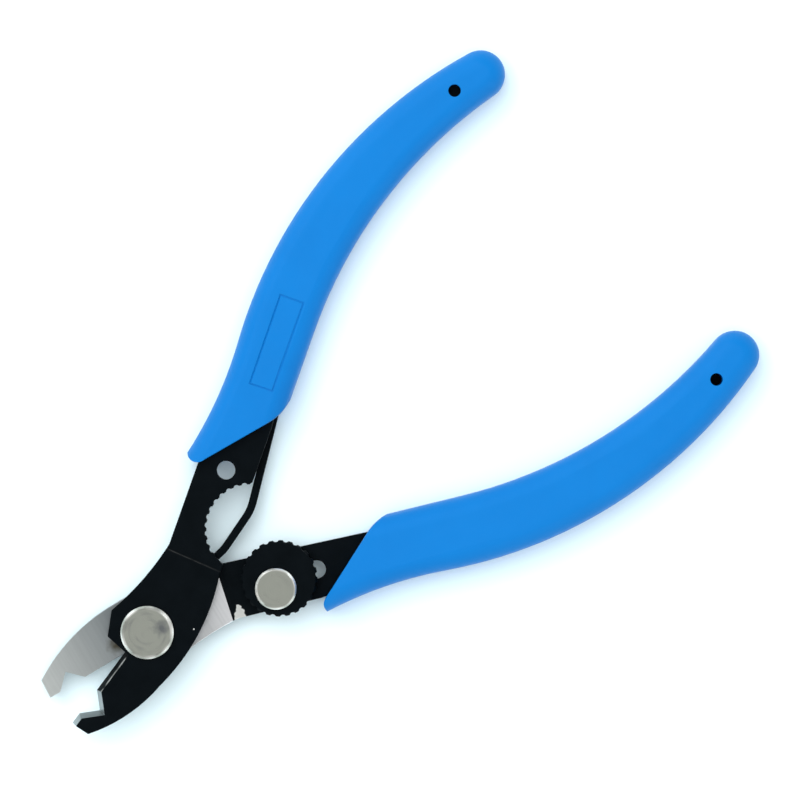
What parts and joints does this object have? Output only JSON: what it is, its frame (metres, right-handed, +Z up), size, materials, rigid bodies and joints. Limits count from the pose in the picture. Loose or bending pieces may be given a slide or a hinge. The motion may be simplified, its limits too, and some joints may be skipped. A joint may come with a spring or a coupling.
{
  "type": "adjustable wire stripper",
  "caption": "Scissor-type wire stripper with notched jaws, moulded handles, an eccentric toothed dial that sets how far the jaws close, and a strip return spring.",
  "frame": {"origin": "where the pivot axis meets the bench that the open tool lies on, at the centre of the pivot rivet's tail", "axes": "+X from the pivot to the handles, halfway between them; +Y towards the handle of the upper blade; +Z up, along the pivot axis towards the rivet's head"},
  "size_m": [0.1272, 0.0756, 0.009],
  "materials": {
    "black_oxide_steel": "black oxide on blanked steel, satin",
    "ground_steel": "ground bare on the jaw and lap, black oxide on the neck",
    "blue_moulding": "satin moulded, slightly soft",
    "turned_steel": "turned, with fine rings",
    "black_dial": "black oxide, matt",
    "spring_steel": "blued strip"
  },
  "bodies": {
    "upper_half": {"upper_blade": "black_oxide_steel", "upper_grip": "blue_moulding", "pivot_rivet": "turned_steel", "pivot_washer": "turned_steel", "return_spring": "spring_steel"},
    "lower_half": {"lower_blade": "ground_steel", "lower_grip": "blue_moulding", "dial_rivet": "turned_steel", "dial_spring_washer": "spring_steel"},
    "dial": {"adjusting_dial": "black_dial"}
  },
  "joints": [
    {"name": "jaw_pivot", "type": "hinge", "parent": "upper_half", "child": "lower_half", "pos_m": [0, 0, 0.0045], "axis": [0, 0, 1], "range_deg": [0, 23], "stiffness_Nm_per_rad": 0.3, "springref_deg": -17.19, "deforming": ["return_spring"]},
    {"name": "dial_turn", "type": "hinge", "parent": "lower_half", "child": "dial", "pos_m": [0.02074, -0.00901, 0.00577], "axis": [0, 0, 1], "range_deg": [-120, 0]}
  ]
}
